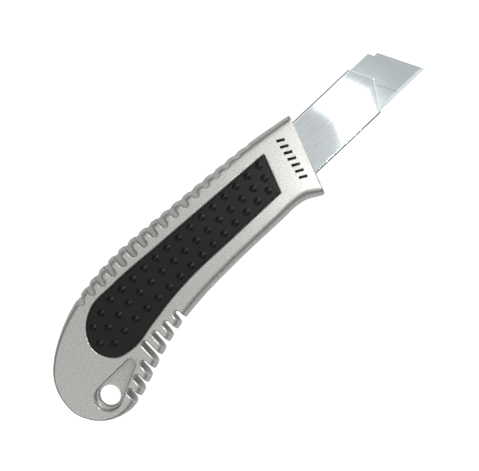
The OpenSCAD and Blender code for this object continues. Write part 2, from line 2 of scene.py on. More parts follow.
# # Snap-off blade utility knife
# The knife comes in as a measured frame: every part is already in its place, at its real size.
# This lesson keeps that frame and gives each part the shape and finish of the real thing: a
# die-cast handle, moulded rubber, bent sheet steel and a ground blade. First it loads the frame.

# %% Load the frame
import bpy
import bmesh
import math
import numpy as np
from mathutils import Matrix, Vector


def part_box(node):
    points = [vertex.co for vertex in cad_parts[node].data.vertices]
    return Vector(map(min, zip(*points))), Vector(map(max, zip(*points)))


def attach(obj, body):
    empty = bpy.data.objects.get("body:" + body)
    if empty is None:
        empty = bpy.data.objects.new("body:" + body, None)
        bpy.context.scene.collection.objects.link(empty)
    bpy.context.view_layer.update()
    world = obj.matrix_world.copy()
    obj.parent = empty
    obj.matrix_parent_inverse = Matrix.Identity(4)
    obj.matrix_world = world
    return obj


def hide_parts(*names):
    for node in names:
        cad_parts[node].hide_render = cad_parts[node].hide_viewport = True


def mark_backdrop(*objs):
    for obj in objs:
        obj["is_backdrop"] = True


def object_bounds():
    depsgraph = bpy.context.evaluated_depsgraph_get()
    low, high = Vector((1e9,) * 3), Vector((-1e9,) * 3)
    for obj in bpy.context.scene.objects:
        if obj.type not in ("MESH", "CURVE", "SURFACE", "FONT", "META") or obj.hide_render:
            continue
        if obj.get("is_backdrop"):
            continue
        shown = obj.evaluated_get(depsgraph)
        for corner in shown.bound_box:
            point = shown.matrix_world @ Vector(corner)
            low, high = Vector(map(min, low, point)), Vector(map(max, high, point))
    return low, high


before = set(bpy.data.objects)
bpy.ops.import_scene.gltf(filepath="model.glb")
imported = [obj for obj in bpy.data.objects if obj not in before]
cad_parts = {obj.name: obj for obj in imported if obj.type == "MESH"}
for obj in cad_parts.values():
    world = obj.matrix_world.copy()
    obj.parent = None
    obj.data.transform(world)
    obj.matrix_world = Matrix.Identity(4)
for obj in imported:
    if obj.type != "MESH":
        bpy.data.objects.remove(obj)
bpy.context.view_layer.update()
print("parts in the frame:", len(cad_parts))

# %% [markdown]
# ## Sizes
# Knife makers work in millimetres, so the shapes below do too, and each mesh is brought to
# metres when it is made. The driving sizes are read from the frame: the guide gives the blade's
# axis, the right shell gives the nose and the faces, and the stud gives the slider's place.

# %% Sizes from the frame
MM = 0.001

def box_mm(node):
    low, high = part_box(node)
    return np.array(low) / MM, np.array(high) / MM

guide_low, guide_high = box_mm("blade_guide")
nose_x, _, half_t = box_mm("housing_right")[1]
axis_y = (guide_low[1] + guide_high[1]) / 2
stud_low, stud_high = box_mm("blade_stud")
slider_x = (stud_low[0] + stud_high[0]) / 2
print("blade axis at y", round(axis_y, 2), "nose at x", round(nose_x, 2), "mm")

# %% [markdown]
# ## Camera
# The knife lies flat and is seen from straight above, with its point to the upper right. A long
# lens at forty centimetres keeps the outline true and still shows a little of the pocket walls.

# %% Camera
VIEW_CENTRE = (73.0, 9.9)
VIEW_HEIGHT = 400.0
VIEW_WIDTH = 172.3
BLADE_ANGLE = 43.3

camera_data = bpy.data.cameras.new("camera")
camera_data.sensor_width = 36.0
camera_data.lens = camera_data.sensor_width * VIEW_HEIGHT / VIEW_WIDTH
camera_data.clip_start = 0.01
camera = bpy.data.objects.new("camera", camera_data)
camera.location = (VIEW_CENTRE[0] * MM, VIEW_CENTRE[1] * MM, VIEW_HEIGHT * MM)
camera.rotation_euler = (0, 0, -math.radians(BLADE_ANGLE))
bpy.context.scene.collection.objects.link(camera)
bpy.context.scene.camera = camera
print("lens", round(camera_data.lens, 1), "mm")

# %% [markdown]
# ## Node helpers
# Every finish below is a small node tree on Object coordinates, so a pattern stays fixed to its
# part and keeps its real size. These helpers make a node, link it and fill in its numbers.

# %% Node helpers
def new_material(name):
    mat = bpy.data.materials.new(name)
    mat.use_nodes = True
    tree = mat.node_tree
    tree.nodes.clear()
    out = tree.nodes.new("ShaderNodeOutputMaterial")
    surface = tree.nodes.new("ShaderNodeBsdfPrincipled")
    tree.links.new(surface.outputs["BSDF"], out.inputs["Surface"])
    return mat, tree, surface

def add_node(tree, kind, values=None):
    node = tree.nodes.new(kind)
    for key, value in (values or {}).items():
        node.inputs[key].default_value = value
    return node

def link(tree, source, target):
    tree.links.new(source, target)

def object_coordinates(tree, scale=(1, 1, 1)):
    place = add_node(tree, "ShaderNodeTexCoord")
    mapping = add_node(tree, "ShaderNodeMapping", {"Scale": scale})
    link(tree, place.outputs["Object"], mapping.inputs["Vector"])
    return mapping.outputs["Vector"]

def ramp(tree, source, stops):
    node = add_node(tree, "ShaderNodeValToRGB")
    elements = node.color_ramp.elements
    while len(elements) < len(stops):
        elements.new(0.5)
    for element, (position, colour) in zip(elements, stops):
        element.position = position
        element.color = (*colour, 1)
    link(tree, source, node.inputs["Fac"])
    return node.outputs["Color"]

def bump(tree, height, strength, distance):
    node = add_node(tree, "ShaderNodeBump", {"Strength": strength, "Distance": distance})
    link(tree, height, node.inputs["Height"])
    return node.outputs["Normal"]

# %% [markdown]
# ## Silver lacquer
# The shells are zinc castings sprayed with silver lacquer. The aluminium flakes in it lie nearly
# flat, so it shines like a soft metal, with a fine sparkle and a faint orange peel. Two noise
# sizes tint the colour and roughness, and a third raises the grain.

# %% Silver lacquer
SILVER = (0.56, 0.565, 0.54)

def silver_lacquer():
    mat, tree, surface = new_material("silver_lacquer")
    spot = object_coordinates(tree)
    flake = add_node(tree, "ShaderNodeTexNoise", {"Scale": 2600.0, "Detail": 3.0})
    cloud = add_node(tree, "ShaderNodeTexNoise", {"Scale": 60.0, "Detail": 2.0})
    peel = add_node(tree, "ShaderNodeTexNoise", {"Scale": 1500.0, "Detail": 2.0})
    for noise in (flake, cloud, peel):
        link(tree, spot, noise.inputs["Vector"])
    dark, light = [tuple(c * k for c in SILVER) for k in (0.7, 1.3)]
    colour = ramp(tree, flake.outputs["Fac"], [(0.3, dark), (0.7, light)])
    link(tree, colour, surface.inputs["Base Color"])
    rough = add_node(tree, "ShaderNodeMapRange", {"To Min": 0.3, "To Max": 0.38})
    link(tree, cloud.outputs["Fac"], rough.inputs["Value"])
    link(tree, rough.outputs["Result"], surface.inputs["Roughness"])
    surface.inputs["Metallic"].default_value = 0.75
    link(tree, bump(tree, peel.outputs["Fac"], 0.35, 0.00012), surface.inputs["Normal"])
    return mat

silver = silver_lacquer()
print("finish:", silver.name)

# %% [markdown]
# ## Rubber, plastic and steel
# The pads are moulded thermoplastic rubber with a matt, slightly uneven skin. The slider is glass
# filled plastic. The guide is bright cold-rolled sheet, the blade is ground across its length,
# and the screws and pins are zinc plated.

# %% Rubber and plastic
def moulded(name, base, roughness, grain, depth):
    mat, tree, surface = new_material(name)
    spot = object_coordinates(tree)
    fine = add_node(tree, "ShaderNodeTexNoise", {"Scale": grain, "Detail": 4.0})
    broad = add_node(tree, "ShaderNodeTexNoise", {"Scale": 90.0, "Detail": 2.0})
    link(tree, spot, fine.inputs["Vector"])
    link(tree, spot, broad.inputs["Vector"])
    dark, light = [tuple(c * k for c in base) for k in (0.8, 1.2)]
    link(tree, ramp(tree, broad.outputs["Fac"], [(0.35, dark), (0.65, light)]),
         surface.inputs["Base Color"])
    rough = add_node(tree, "ShaderNodeMapRange",
                     {"To Min": roughness - 0.06, "To Max": roughness + 0.06})
    link(tree, fine.outputs["Fac"], rough.inputs["Value"])
    link(tree, rough.outputs["Result"], surface.inputs["Roughness"])
    link(tree, bump(tree, fine.outputs["Fac"], 0.3, depth), surface.inputs["Normal"])
    surface.inputs["Specular IOR Level"].default_value = 0.3
    return mat

rubber = moulded("black_rubber", (0.006, 0.0058, 0.0052), 0.38, 1600.0, 0.00006)
plastic = moulded("dark_plastic", (0.035, 0.037, 0.04), 0.42, 2200.0, 0.00004)
ink = moulded("black_ink", (0.008, 0.008, 0.008), 0.4, 2500.0, 0.00002)
print("finishes:", rubber.name, plastic.name, ink.name)

# %% Steel
def steel(name, base, roughness, scratch, strength, spread=0.05):
    mat, tree, surface = new_material(name)
    lines = add_node(tree, "ShaderNodeTexNoise", {"Scale": 1.0, "Detail": 4.0})
    link(tree, object_coordinates(tree, scratch), lines.inputs["Vector"])
    cloud = add_node(tree, "ShaderNodeTexNoise", {"Scale": 140.0, "Detail": 3.0})
    link(tree, object_coordinates(tree), cloud.inputs["Vector"])
    dark, light = [tuple(c * k for c in base) for k in (0.95, 1.05)]
    link(tree, ramp(tree, lines.outputs["Fac"], [(0.3, dark), (0.7, light)]),
         surface.inputs["Base Color"])
    rough = add_node(tree, "ShaderNodeMapRange",
                     {"To Min": roughness, "To Max": roughness + spread})
    link(tree, cloud.outputs["Fac"], rough.inputs["Value"])
    link(tree, rough.outputs["Result"], surface.inputs["Roughness"])
    surface.inputs["Metallic"].default_value = 1.0
    link(tree, bump(tree, lines.outputs["Fac"], strength, 0.00002), surface.inputs["Normal"])
    return mat

bright_steel = steel("bright_steel", (0.74, 0.79, 0.81), 0.05, (300, 2500, 2500), 0.02, 0.03)
ground_steel = steel("ground_steel", (0.63, 0.68, 0.7), 0.09, (5000, 300, 300), 0.06)
plated_steel = steel("plated_steel", (0.6, 0.61, 0.62), 0.26, (900, 900, 900), 0.15)
print("finishes:", bright_steel.name, ground_steel.name, plated_steel.name)

# %% [markdown]
# ## Lines and widths
# A casting's outline is a drawn curve. The same curve is rebuilt here from its points, spaced by
# their distance, and each point carries the width of the rounded edge there. A plan then holds,
# for a fine grid of places, how deep each place lies inside an outline.

# %% Curves through points
def curve(points, step):
    """A smooth line through the points, with a new point about every step along it."""
    p = np.array(points, float)
    gap = np.maximum(np.hypot(*np.diff(p[:, :2], axis=0).T), 0.01)[:, None]
    run = np.diff(p, axis=0) / gap
    slope = np.vstack([run[:1], (run[:-1] * gap[1:] + run[1:] * gap[:-1]) / (gap[1:] + gap[:-1]),
                       run[-1:]])
    out = []
    for i, d in enumerate(gap[:, 0]):
        t = np.linspace(0, 1, max(1, round(d / step)), endpoint=False)[:, None]
        out.append((2 * t**3 - 3 * t**2 + 1) * p[i] + (t**3 - 2 * t**2 + t) * slope[i] * d
                   + (3 * t**2 - 2 * t**3) * p[i + 1] + (t**3 - t**2) * slope[i + 1] * d)
    return np.vstack(out + [p[-1:]])

def arc(centre, radius, start, end, steps):
    a = np.radians(np.linspace(start, end, steps + 1))
    return np.column_stack([centre[0] + radius * np.cos(a), centre[1] + radius * np.sin(a)])

# %% Depth inside a line
PLAN_STEP = 0.2
PLAN_LOW = np.array([-17.0, -13.0])
PLAN_SIZE = (700, 270)

def line_depth(x, y, line, closed=False):
    """Depth to the left of a line, or inside a closed one, and the line's third number there."""
    ends = np.roll(line, -1, axis=0) if closed else line[1:]
    best = np.full(x.shape, 1e9)
    left, inside = np.zeros(x.shape, bool), np.zeros(x.shape, bool)
    extra = np.zeros(x.shape)
    for p, q in zip(line, ends):
        d = q[:2] - p[:2]
        t = np.clip(((x - p[0]) * d[0] + (y - p[1]) * d[1]) / max(d @ d, 1e-12), 0, 1)
        away = (x - p[0] - t * d[0]) ** 2 + (y - p[1] - t * d[1]) ** 2
        nearer = away < best - 1e-9
        turn = d[0] * (y - p[1]) - d[1] * (x - p[0])
        best[nearer] = away[nearer]
        left[nearer] = turn[nearer] > 0
        extra[nearer] = (p[-1] + t * (q[-1] - p[-1]))[nearer]
        crossed = (p[1] > y) != (q[1] > y)
        inside ^= crossed & ((turn > 0) == (q[1] > p[1]))
    return np.sqrt(best) * np.where(inside if closed else left, 1, -1), extra

def plan_axes():
    return (PLAN_LOW[0] + PLAN_STEP * np.arange(PLAN_SIZE[0]),
            PLAN_LOW[1] + PLAN_STEP * np.arange(PLAN_SIZE[1]))

def look_up(plan, x, y):
    u = np.clip((x - PLAN_LOW[0]) / PLAN_STEP, 0, PLAN_SIZE[0] - 1.001)
    v = np.clip((y - PLAN_LOW[1]) / PLAN_STEP, 0, PLAN_SIZE[1] - 1.001)
    u, v = np.broadcast_arrays(u, v)
    i, j = u.astype(int), v.astype(int)
    s, t = u - i, v - j
    return ((plan[i, j] * (1 - s) + plan[i + 1, j] * s) * (1 - t)
            + (plan[i, j + 1] * (1 - s) + plan[i + 1, j + 1] * s) * t)

# %% [markdown]
# ## Handle outline
# The outline runs from the nose along the spine, round the tail and back along the belly to the
# flare under the nose. The spine and belly edges are broad and soft for the hand, and the tail
# and nose edges are crisp. The line runs on past the nose, where a slanted face cuts it off.

# %% Handle outline
NOSE_LEAN = 18.8
EDGE, TAIL_EDGE, NOSE_EDGE = 3.5, 1.0, 0.9
SPINE, BELLY, NOSE_RISE, FLARE_DROP = 9.2, 3.6, 2.6, 7.6
guide_y0, guide_y1 = guide_low[1], guide_high[1]
nose_top = np.array([nose_x, guide_y1 + NOSE_RISE])
flare_y = guide_y0 - FLARE_DROP
nose_slope = math.tan(math.radians(NOSE_LEAN))
flare_tip = np.array([nose_x - (nose_top[1] - flare_y) * nose_slope, flare_y])
low_line = guide_y0 - BELLY

outline_points = [
    (*nose_top, 2.9), (nose_x - 15.3, guide_y1 + SPINE * 0.54, EDGE),
    (nose_x - 35.3, guide_y1 + SPINE * 0.73, EDGE), (nose_x - 55.3, guide_y1 + SPINE * 0.88, EDGE),
    (46, guide_y1 + SPINE * 0.98, EDGE), (36, guide_y1 + SPINE, EDGE),
    (26.8, guide_y1 + SPINE * 0.93, EDGE), (18.8, guide_y1 + SPINE * 0.8, 3.15),
    (10.8, guide_y1 + SPINE * 0.56, 2.45), (2.8, axis_y + 11.3, 1.75),
    (-4.9, axis_y + 6.3, 1.3), (-9.2, axis_y + 2, TAIL_EDGE), (-11.7, axis_y - 2.6, TAIL_EDGE),
    (-12.9, 8.2, TAIL_EDGE), (-12.8, 4.6, TAIL_EDGE), (-11.4, 0.6, TAIL_EDGE),
    (-8.9, -3.1, TAIL_EDGE), (-5.2, -6.2, 1.2), (-1.2, -8, 1.8), (2.8, -8.8, 2.8),
    (6.8, -8.3, EDGE), (12.8, -6.4, EDGE), (18.8, -4.1, EDGE), (26.8, low_line - 4.8, EDGE),
    (36.8, low_line - 2.3, EDGE), (49.8, low_line - 0.6, EDGE), (63, low_line, EDGE),
    (nose_x - 26, low_line, EDGE), (nose_x - 20, low_line, EDGE),
    (nose_x - 15.6, low_line - 0.9, EDGE), (nose_x - 12.6, low_line - 2.5, 3.15), (*flare_tip, 2.8)]
outline = curve(outline_points, 1.2)

def run_on(line, reach):
    first = line[0] + (line[0] - line[1]) / np.linalg.norm((line[0] - line[1])[:2]) * reach
    last = line[-1] + (line[-1] - line[-2]) / np.linalg.norm((line[-1] - line[-2])[:2]) * reach
    first[2], last[2] = line[0, 2], line[-1, 2]
    return np.vstack([first, line, last])

plan_x, plan_y = np.meshgrid(*plan_axes(), indexing="ij")
outline_depth, edge_width = line_depth(plan_x, plan_y, run_on(outline, 14))
nose_way = (nose_top - flare_tip) / np.linalg.norm(nose_top - flare_tip)
print("outline points:", len(outline), "widest depth", round(outline_depth.max(), 2), "mm")

# %% [markdown]
# ## Solids from fields
# A field gives each point of space its distance from a surface, less than zero inside. Cutting
# one field from another with a soft corner leaves the small radius that every casting and
# moulding has. A net of quads is laid on the zero surface and settled onto it, and then half of
# its triangles are taken out, mostly where it is flat.

# %% Fields
def soft_max(a, b, soft):
    """The larger of two fields, rounded over about soft where they meet."""
    near = np.maximum(soft - np.abs(a - b), 0) / soft
    return np.maximum(a, b) + near**2 * soft / 4

def soft_min(a, b, soft):
    return -soft_max(-a, -b, soft)

def cut(solid, hole, soft):
    return soft_max(solid, -hole, soft)

def box_field(x, y, z, low, high, round_off=0.0):
    centre, half = (np.array(low) + high) / 2, (np.array(high) - low) / 2 - round_off
    d = [np.abs(v - c) - h for v, c, h in zip((x, y, z), centre, half)]
    out = np.sqrt(sum(np.maximum(v, 0) ** 2 for v in d))
    return out + np.minimum(np.maximum(np.maximum(d[0], d[1]), d[2]), 0) - round_off

def post_field(x, y, z, place, radius, low, high):
    side = np.hypot(x - place[0], y - place[1]) - radius
    return np.maximum(side, np.maximum(low - z, z - high))

# %% Net on a field
def active_cells(value):
    """Which grid points are inside, and the cells that the surface passes through."""
    inside = value < 0
    n = np.array(value.shape) - 1
    count = sum(inside[i:n[0] + i, j:n[1] + j, k:n[2] + k].astype(np.int8)
                for i in (0, 1) for j in (0, 1) for k in (0, 1))
    return inside, np.argwhere((count > 0) & (count < 8))

def crossing_points(value, cells, start, cell):
    """For each cell, the mean of the places where the surface crosses its edges."""
    total = np.zeros((len(cells), 3))
    hits = np.zeros(len(cells))
    for axis in range(3):
        others = [a for a in range(3) if a != axis]
        for u in (0, 1):
            for v in (0, 1):
                near = cells.copy()
                near[:, others[0]] += u
                near[:, others[1]] += v
                far = near.copy()
                far[:, axis] += 1
                a, b = value[tuple(near.T)], value[tuple(far.T)]
                met = (a < 0) != (b < 0)
                share = np.where(met, a / np.where(met, a - b, 1), 0)
                point = near.astype(float)
                point[:, axis] += share
                total[met] += point[met]
                hits += met
    return start + total / hits[:, None] * cell

def net_quads(inside, cells, shape):
    """One quad round each grid edge that crosses the surface, facing outwards."""
    number = np.full([n - 1 for n in shape], -1)
    number[tuple(cells.T)] = np.arange(len(cells))
    quads = []
    for axis in range(3):
        first = np.take(inside, range(shape[axis] - 1), axis)
        second = np.take(inside, range(1, shape[axis]), axis)
        at = np.argwhere(first != second)
        steps = []
        for name in ((axis + 1) % 3, (axis + 2) % 3):
            step = np.zeros(3, int)
            step[name] = 1
            steps.append(step)
        ring = [at - steps[0] - steps[1], at - steps[1], at, at - steps[0]]
        quad = np.column_stack([number[tuple(r.T)] for r in ring])
        outward = first[tuple(at.T)]
        quads.append(np.where(outward[:, None], quad, quad[:, ::-1]))
    return np.vstack(quads)

def settle(points, quads, field, cell):
    """Moves the points onto the surface, evens them out, and moves them onto it again."""
    def project(p, reach=0.01):
        value = field(*p.T)
        slope = np.column_stack([(field(*(p + reach * step).T) - value) / reach
                                 for step in np.eye(3)])
        size = np.maximum((slope**2).sum(1), 0.05)
        move = (value / size)[:, None] * slope
        far = np.linalg.norm(move, axis=1, keepdims=True)
        return p - move * np.minimum(1, 0.5 * cell / np.maximum(far, 1e-9))
    points = project(project(points))
    middle = np.repeat(points[quads].mean(1), 4, axis=0)
    corners = quads.ravel()
    hits = np.bincount(corners, minlength=len(points))
    total = np.column_stack([np.bincount(corners, middle[:, a], len(points)) for a in range(3)])
    points = points + 0.5 * (total / np.maximum(hits, 1)[:, None] - points)
    return project(project(points))

# %% Mesh of a field
def made_real(obj):
    """The object's mesh after its modifiers, which are then taken off."""
    bpy.context.view_layer.update()
    finished = obj.evaluated_get(bpy.context.evaluated_depsgraph_get())
    shape = bpy.data.meshes.new_from_object(finished)
    obj.modifiers.clear()
    obj.data = shape
    return obj

def thinned(mesh, keep):
    """Fewer triangles: flat parts give up theirs first."""
    obj = bpy.data.objects.new(mesh.name, mesh)
    bpy.context.scene.collection.objects.link(obj)
    modifier = obj.modifiers.new("thin", "DECIMATE")
    modifier.ratio = keep
    shape = made_real(obj).data
    bpy.data.objects.remove(obj)
    return shape

def field_mesh(name, field, low, high, cell, keep=0.5):
    start = np.array(low, float) - 1.5 * cell
    counts = np.ceil((np.array(high) - start) / cell).astype(int) + 3
    x, y, z = [start[a] + cell * np.arange(counts[a]) for a in range(3)]
    value = field(x[:, None, None], y[None, :, None], z[None, None, :])
    value = np.broadcast_to(value, counts).copy()
    inside, cells = active_cells(value)
    quads = net_quads(inside, cells, value.shape)
    points = crossing_points(value, cells, start, cell)
    points = settle(points, quads, field, cell)
    mesh = bpy.data.meshes.new(name)
    mesh.from_pydata((points * MM).tolist(), [], quads.tolist())
    return thinned(mesh, keep)

# %% Pieces from meshes
def triangles(mesh):
    return sum(len(p.vertices) - 2 for p in mesh.polygons)

def new_object(name, mesh, material=None):
    obj = bpy.data.objects.new(name, mesh)
    bpy.context.scene.collection.objects.link(obj)
    if material is not None:
        mesh.materials.clear()
        mesh.materials.append(material)
    for polygon in mesh.polygons:
        polygon.use_smooth = True
    return obj

def flat_shine(obj, sharp_angle=None):
    """Lets large flat faces keep their own normal, so that highlights stay clean."""
    if sharp_angle is not None:
        obj.data.set_sharp_from_angle(angle=math.radians(sharp_angle))
    modifier = obj.modifiers.new("weights", "WEIGHTED_NORMAL")
    modifier.mode = "FACE_AREA"
    modifier.weight = 50
    modifier.keep_sharp = sharp_angle is not None
    return made_real(obj)

def stands_for(obj, body, finish, *nodes):
    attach(obj, body)
    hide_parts(*nodes)
    print(f"{obj.name}: {triangles(obj.data)} triangles")
    return obj

# %% [markdown]
# ## Handle shells
# Two castings meet on the blade's middle plane. Each is a rounded blank with seventeen finger
# grooves along the spine and seven slots between the belly ribs, a drop shaped pocket around the
# lanyard hole, a recess for its pad and a trough for the steel guide. The left one also has the
# thumb button's track and the screw wells.

# %% Rounded blank
EDGE_RISE = 1.5

def edge_field(depth, width, z):
    """Distance from a half with an elliptic edge: width across, and EDGE_RISE times that down."""
    rise = width * EDGE_RISE
    u, v = width - depth, z - (half_t - rise)
    on_edge = (u > 0) & (v > 0)
    k = np.sqrt((u / width) ** 2 + (v / rise) ** 2)
    slope = np.sqrt((u / width**2) ** 2 + (v / rise**2) ** 2)
    curved = k * (k - 1) / np.maximum(slope, 1e-6) / np.maximum(k, 1e-6)
    return np.where(on_edge, curved, np.maximum(u - width, v - rise))

def blank_field(x, y, z):
    depth, width = look_up(outline_depth, x, y), look_up(edge_width, x, y)
    body = edge_field(depth, width, z)
    past = (x - flare_tip[0]) * nose_way[1] - (y - flare_tip[1]) * nose_way[0]
    nose = edge_field(-past, NOSE_EDGE, z)
    return soft_max(body, nose, 0.7)

# %% Grooves, slots and the lanyard pocket
GROOVES, GROOVE_FIRST, GROOVE_PITCH, GROOVE_RADIUS = 17, 16.1, 5.04, 1.3
SLOTS, SLOT_FIRST, SLOT_WIDTH = 7, 7.0, 2.4
EYE_RADIUS, WEB_HALF, POCKET_RADIUS, TIP_RADIUS = 3.9, 2.0, 4.9, 1.8
TIP = (13.9, 3.3)
CLIMB, CLIMB_FROM = 0.006, 60
groove_line = guide_y1 + 3.1

def spine_height(x):
    upper = outline[: np.argmin(outline[:, 0])]
    return float(np.interp(x, upper[::-1, 0], upper[::-1, 1]))

groove_x = GROOVE_FIRST + GROOVE_PITCH * np.arange(GROOVES)
groove_shift = GROOVE_RADIUS * 1.25
groove_top = groove_line + CLIMB * np.maximum(0, groove_x - CLIMB_FROM) + groove_shift
groove_low = np.array([spine_height(x) for x in groove_x]) - 0.4 + groove_shift
slot_pitch = GROOVE_PITCH + 0.1
slot_inner = np.array([-4 + 2 * k if k < 3 else guide_y0 - 2.4 for k in range(SLOTS)])

def nearest(x, first, pitch, count):
    return np.clip(np.round((x - first) / pitch), 0, count - 1).astype(int)

def grooves_field(x, y, z):
    k = nearest(x, GROOVE_FIRST, GROOVE_PITCH, GROOVES)
    top, low = groove_top[k], groove_low[k]
    across = ((y - low) * half_t - z * (top - low)) / np.hypot(top - low, half_t)
    return np.hypot(x - groove_x[k], np.minimum(across, 0)) - GROOVE_RADIUS

def slots_field(x, y):
    k = nearest(x, SLOT_FIRST, slot_pitch, SLOTS)
    return (np.hypot(x - SLOT_FIRST - k * slot_pitch, np.maximum(y - slot_inner[k], 0))
            - SLOT_WIDTH / 2)

def pocket_field(x, y, z):
    reach = math.hypot(*TIP)
    along = (x * TIP[0] + y * TIP[1]) / reach
    across = np.abs(x * TIP[1] - y * TIP[0]) / reach
    narrow = (POCKET_RADIUS - TIP_RADIUS) / reach
    wide = math.sqrt(1 - narrow**2)
    lean = along * wide - across * narrow
    drop = np.where(lean < 0, np.hypot(along, across) - POCKET_RADIUS,
                    np.where(lean > reach * wide, np.hypot(along - reach, across) - TIP_RADIUS,
                             across * wide + along * narrow - POCKET_RADIUS))
    return soft_max(drop, WEB_HALF - z, 0.2)

# %% Pad outline
PAD_RECESS, PAD_THICK, PAD_GAP = 1.3, 1.0, 0.3
pad_high, pad_low = guide_y1 + 1.3, axis_y - 5.6
pad_floor = half_t - PAD_RECESS
pad_points = [(nose_x - 21.5, pad_low), (72, pad_low), (50, pad_low), (40.5, pad_low - 0.8),
              (29, pad_low - 2.7), (18.5, pad_low - 4.3), (11.8, pad_low - 2.6), (8, pad_low + 4.6),
              (10.8, pad_low + 11.4), (17.4, pad_high - 0.7), (28, pad_high), (50, pad_high - 0.8),
              (76, pad_high - 2), (nose_x - 16.7, pad_high - 3.1)]
pad_depth = line_depth(plan_x, plan_y, curve(pad_points, 1.2), closed=True)[0]
print("pad depth at its middle", round(float(look_up(pad_depth, 60.0, axis_y)), 2), "mm")

def pad_side(x, y, grow):
    return -look_up(pad_depth, x, y) - grow

# %% Track of the thumb button
button_low, button_high = box_mm("thumb_button")
DRAWN_IN, SLIDER_BACK, SLOT_GAP = 24, 9.5, 0.5
TRACK_SIDE_GAP, TRACK_END_GAP, TRACK_DROP, TRACK_ROUND = 1.4, 1.5, 2.0, 2.0
PAD_ARM_END, TRACK_MARGIN, ENDLESS = 66.0, 1.0, 99
track_half = (button_high[1] - button_low[1]) / 2 + TRACK_SIDE_GAP
track_back = button_low[0] - DRAWN_IN - TRACK_END_GAP
slot_half, slot_back = 5.0, slider_x - DRAWN_IN - SLIDER_BACK - SLOT_GAP
track_face = guide_low[2] - TRACK_DROP

def track_field(x, y, z, grow=0.0):
    low = (track_back - grow, axis_y - track_half - grow, -ENDLESS)
    high = (nose_x + 60, axis_y + track_half + grow, ENDLESS)
    return np.maximum(box_field(x, y, 0 * z, low, high, TRACK_ROUND), z - track_face)

def left_pad_side(x, y, grow):
    track = track_field(x, y, track_face - 50, TRACK_MARGIN)
    lean = math.radians(NOSE_LEAN)
    arm = ((x - PAD_ARM_END) * math.cos(lean) - (y - axis_y) * math.sin(lean)) - grow
    return soft_max(soft_max(pad_side(x, y, grow), -track - grow, 0.8), arm, 0.8)

# %% Shell fields
GROOVE_SOFT, SLOT_SOFT, PARTING_SOFT, POCKET_SOFT, EYE_SOFT = 0.4, 0.8, 0.35, 0.3, 0.25
RECESS_SOFT, FLOOR_SOFT, TRACK_SOFT, TROUGH_SOFT, HOLE_SOFT = 0.35, 0.3, 0.4, 0.25, 0.15
TROUGH_GAP, THROUGH = 0.1, 9
HOLLOW = (-2, 8.5, -THROUGH), (11.5, 24, 4.6)
THREAD_HOLE, CLEAR_HOLE, WELL_RADIUS, WELL_SEAT, PEG_RADIUS = 1.0, 1.15, 1.9, 3.2, 1.2
SCREWS = [((box_mm(n)[0] + box_mm(n)[1]) / 2)[:2]
          for n in ("screw_tail", "screw_rear", "screw_front_spine", "screw_front_belly")]
PEGS = [(-7, 7.5), (nose_x - 50, guide_y1 + 3.4)]
guide_end = guide_low[0]

def shell_field(x, y, z):
    body = blank_field(x, y, z)
    body = cut(body, grooves_field(x, y, z), GROOVE_SOFT)
    body = cut(body, slots_field(x, y), SLOT_SOFT)
    body = soft_max(body, -z, PARTING_SOFT)
    body = cut(body, pocket_field(x, y, z), POCKET_SOFT)
    body = cut(body, np.hypot(x, y) - EYE_RADIUS, EYE_SOFT)
    return cut(body, box_field(x, y, z, *HOLLOW, 0.5), FLOOR_SOFT)

def trough_field(x, y, z, roof):
    low = (guide_end - TROUGH_GAP, guide_y0 - TROUGH_GAP, -THROUGH)
    high = (nose_x + THROUGH, guide_y1 + TROUGH_GAP, roof + TROUGH_GAP)
    return box_field(x, y, z, low, high, 0.2)

def right_field(x, y, z):
    body = shell_field(x, y, z)
    recess = soft_max(pad_side(x, y, PAD_GAP), pad_floor - z, FLOOR_SOFT)
    body = cut(body, recess, RECESS_SOFT)
    body = cut(body, trough_field(x, y, z, guide_high[2]), TROUGH_SOFT)
    for spot in SCREWS:
        body = cut(body, post_field(x, y, z, spot, THREAD_HOLE, -THROUGH, 4.6), HOLE_SOFT)
    for spot in PEGS:
        body = soft_min(body, post_field(x, y, z, spot, PEG_RADIUS, -1.6, 0.5), HOLE_SOFT)
    return body

def left_field(x, y, z):
    """The left shell seen from its own side: its outer face is up."""
    body = shell_field(x, y, z)
    recess = soft_max(left_pad_side(x, y, PAD_GAP), pad_floor - z, FLOOR_SOFT)
    body = cut(body, recess, RECESS_SOFT)
    body = cut(body, track_field(x, y, -z), TRACK_SOFT)
    slot = np.maximum(np.abs(y - axis_y) - slot_half, slot_back - x)
    body = cut(body, slot, FLOOR_SOFT)
    body = cut(body, trough_field(x, y, z, -guide_low[2]), TROUGH_SOFT)
    for spot in SCREWS:
        body = cut(body, post_field(x, y, z, spot, CLEAR_HOLE, -THROUGH, ENDLESS), HOLE_SOFT)
        well = post_field(x, y, z, spot, WELL_RADIUS, WELL_SEAT, ENDLESS)
        body = cut(body, well, 0.25)
    for spot in PEGS:
        body = cut(body, post_field(x, y, z, spot, PEG_RADIUS + 0.1, -THROUGH, 1.8), HOLE_SOFT)
    return body

# %% Shells
SHELL_CELL = 0.3
SHELL_LOW, SHELL_HIGH = (-13.2, -9.2, -1.9), (nose_x + 0.3, guide_y1 + SPINE + 0.4, half_t + 0.2)

def mirrored(mesh):
    for vertex in mesh.vertices:
        vertex.co.z = -vertex.co.z
    mesh.flip_normals()
    return mesh

right_shell = new_object("shell_right", field_mesh(
    "shell_right", right_field, SHELL_LOW, SHELL_HIGH, SHELL_CELL), silver)
stands_for(flat_shine(right_shell), "handle", "silver_shell", "housing_right")
left_low = (SHELL_LOW[0], SHELL_LOW[1], -0.3)
left_shell = new_object("shell_left", mirrored(field_mesh(
    "shell_left", left_field, left_low, SHELL_HIGH, SHELL_CELL)), silver)
stands_for(flat_shine(left_shell), "handle", "silver_shell", "housing_left")

# %% [markdown]
# ## Repeats
# Studs, ribs, screws and notches are one shape set down at many places. A small node group puts
# the shape at each point of a list of places, makes the copies real and gives them their finish.

